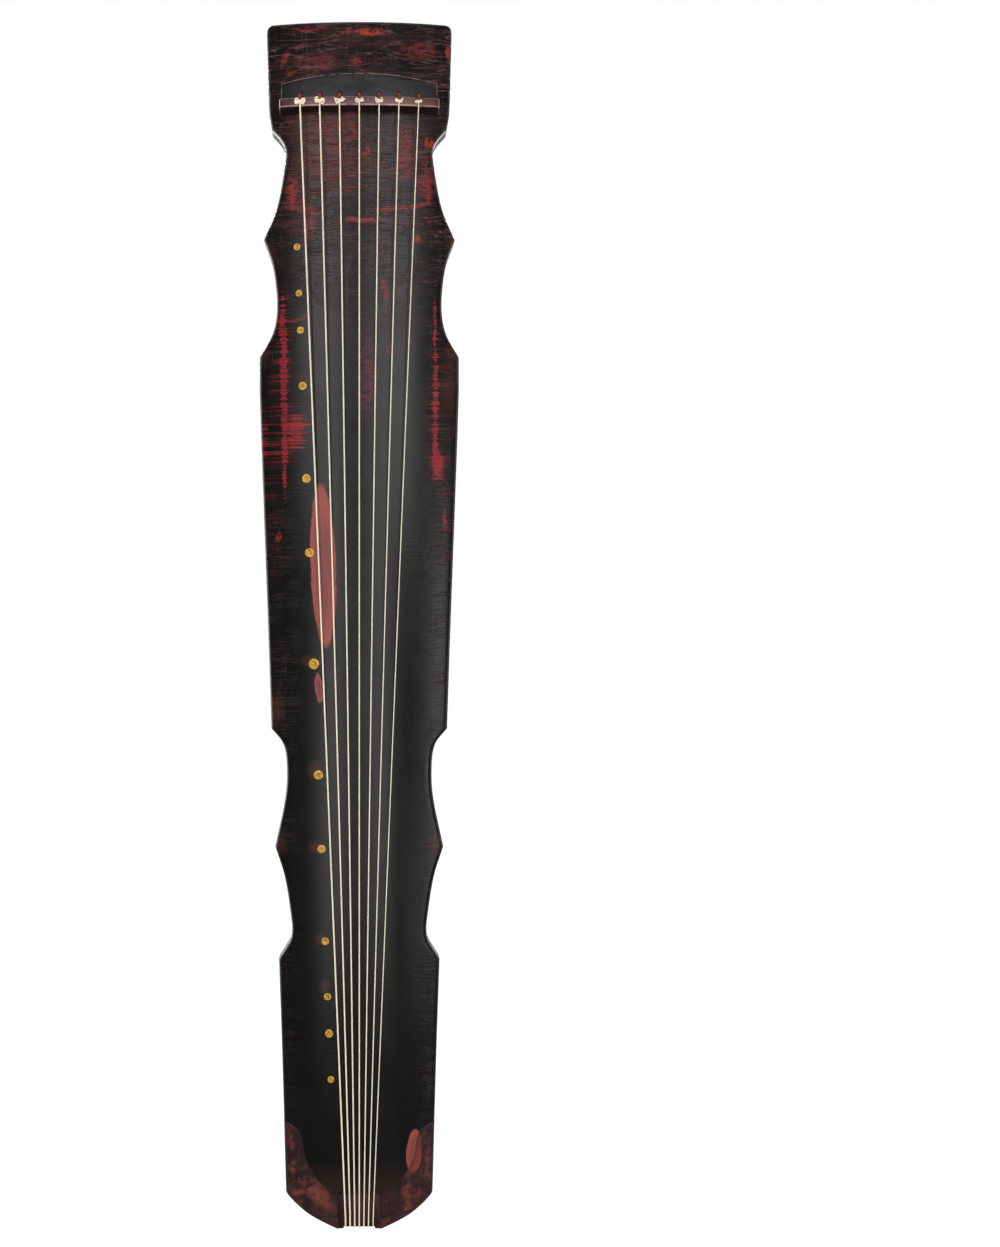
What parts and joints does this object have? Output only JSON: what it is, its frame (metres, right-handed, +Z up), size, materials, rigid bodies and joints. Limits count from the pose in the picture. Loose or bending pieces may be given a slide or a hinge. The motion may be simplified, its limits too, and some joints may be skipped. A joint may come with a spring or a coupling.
{
  "type": "seven-string zither",
  "caption": "Guqin, a fretless Chinese zither: a long lacquered wooden sound box with scalloped sides, silk strings, inlaid studs, peg tassels and two goose feet.",
  "frame": {"origin": "upper rim of the dragon pool, the larger sound hole, on the flat back, where a wall hook holds the instrument", "axes": "+Z up along the instrument to its head, -Y out of the arched front with the strings, +X to the right as seen from the front, away from the studs' side"},
  "size_m": [0.2012, 0.0965, 1.216],
  "materials": {
    "lacquer": "old polished black-brown lacquer over wood, with fine crackle and worn red patches",
    "red_lacquer": "worn red-brown lacquer over hardwood",
    "dark_wood": "dark polished hardwood",
    "bare_wood": "bare, unfinished",
    "gold": "dull old gold",
    "string_silk": "tightly twisted cream silk",
    "cord_silk": "faded red-brown twisted silk"
  },
  "bodies": {
    "instrument": {"top_board": "lacquer", "bottom_board": "lacquer", "bridge": "dark_wood", "string_hole_strip": "dark_wood", "peg_pool_strip": "bare_wood", "nut": "dark_wood", "gum_rest": "dark_wood", "heaven_post": "bare_wood", "earth_post": "bare_wood", "left_crown": "red_lacquer", "left_goose_foot": "dark_wood", "left_peg_guard": "dark_wood", "right_crown": "red_lacquer", "right_goose_foot": "dark_wood", "right_peg_guard": "dark_wood", "stud_1": "gold", "stud_2": "gold", "stud_3": "gold", "stud_4": "gold", "stud_5": "gold", "stud_6": "gold", "stud_7": "gold", "stud_8": "gold", "stud_9": "gold", "stud_10": "gold", "stud_11": "gold", "stud_12": "gold", "stud_13": "gold", "string_1": "string_silk", "cord_1": "cord_silk", "tassel_1": "cord_silk", "string_2": "string_silk", "cord_2": "cord_silk", "tassel_2": "cord_silk", "string_3": "string_silk", "cord_3": "cord_silk", "tassel_3": "cord_silk", "string_4": "string_silk", "cord_4": "cord_silk", "tassel_4": "cord_silk", "string_5": "string_silk", "cord_5": "cord_silk", "tassel_5": "cord_silk", "string_6": "string_silk", "cord_6": "cord_silk", "tassel_6": "cord_silk", "string_7": "string_silk", "cord_7": "cord_silk", "tassel_7": "cord_silk"},
    "tuning_peg_1": {"peg_1": "dark_wood"},
    "tuning_peg_2": {"peg_2": "dark_wood"},
    "tuning_peg_3": {"peg_3": "dark_wood"},
    "tuning_peg_4": {"peg_4": "dark_wood"},
    "tuning_peg_5": {"peg_5": "dark_wood"},
    "tuning_peg_6": {"peg_6": "dark_wood"},
    "tuning_peg_7": {"peg_7": "dark_wood"}
  },
  "joints": [
    {"name": "peg_1_turn", "type": "hinge", "parent": "instrument", "child": "tuning_peg_1", "pos_m": [-0.0591, 0.006, 0.38633], "axis": [0, 1, 0], "continuous": true},
    {"name": "peg_2_turn", "type": "hinge", "parent": "instrument", "child": "tuning_peg_2", "pos_m": [-0.0394, 0.006, 0.38633], "axis": [0, 1, 0], "continuous": true},
    {"name": "peg_3_turn", "type": "hinge", "parent": "instrument", "child": "tuning_peg_3", "pos_m": [-0.0197, 0.006, 0.38633], "axis": [0, 1, 0], "continuous": true},
    {"name": "peg_4_turn", "type": "hinge", "parent": "instrument", "child": "tuning_peg_4", "pos_m": [0, 0.006, 0.38633], "axis": [0, 1, 0], "continuous": true},
    {"name": "peg_5_turn", "type": "hinge", "parent": "instrument", "child": "tuning_peg_5", "pos_m": [0.0197, 0.006, 0.38633], "axis": [0, 1, 0], "continuous": true},
    {"name": "peg_6_turn", "type": "hinge", "parent": "instrument", "child": "tuning_peg_6", "pos_m": [0.0394, 0.006, 0.38633], "axis": [0, 1, 0], "continuous": true},
    {"name": "peg_7_turn", "type": "hinge", "parent": "instrument", "child": "tuning_peg_7", "pos_m": [0.0591, 0.006, 0.38633], "axis": [0, 1, 0], "continuous": true}
  ]
}
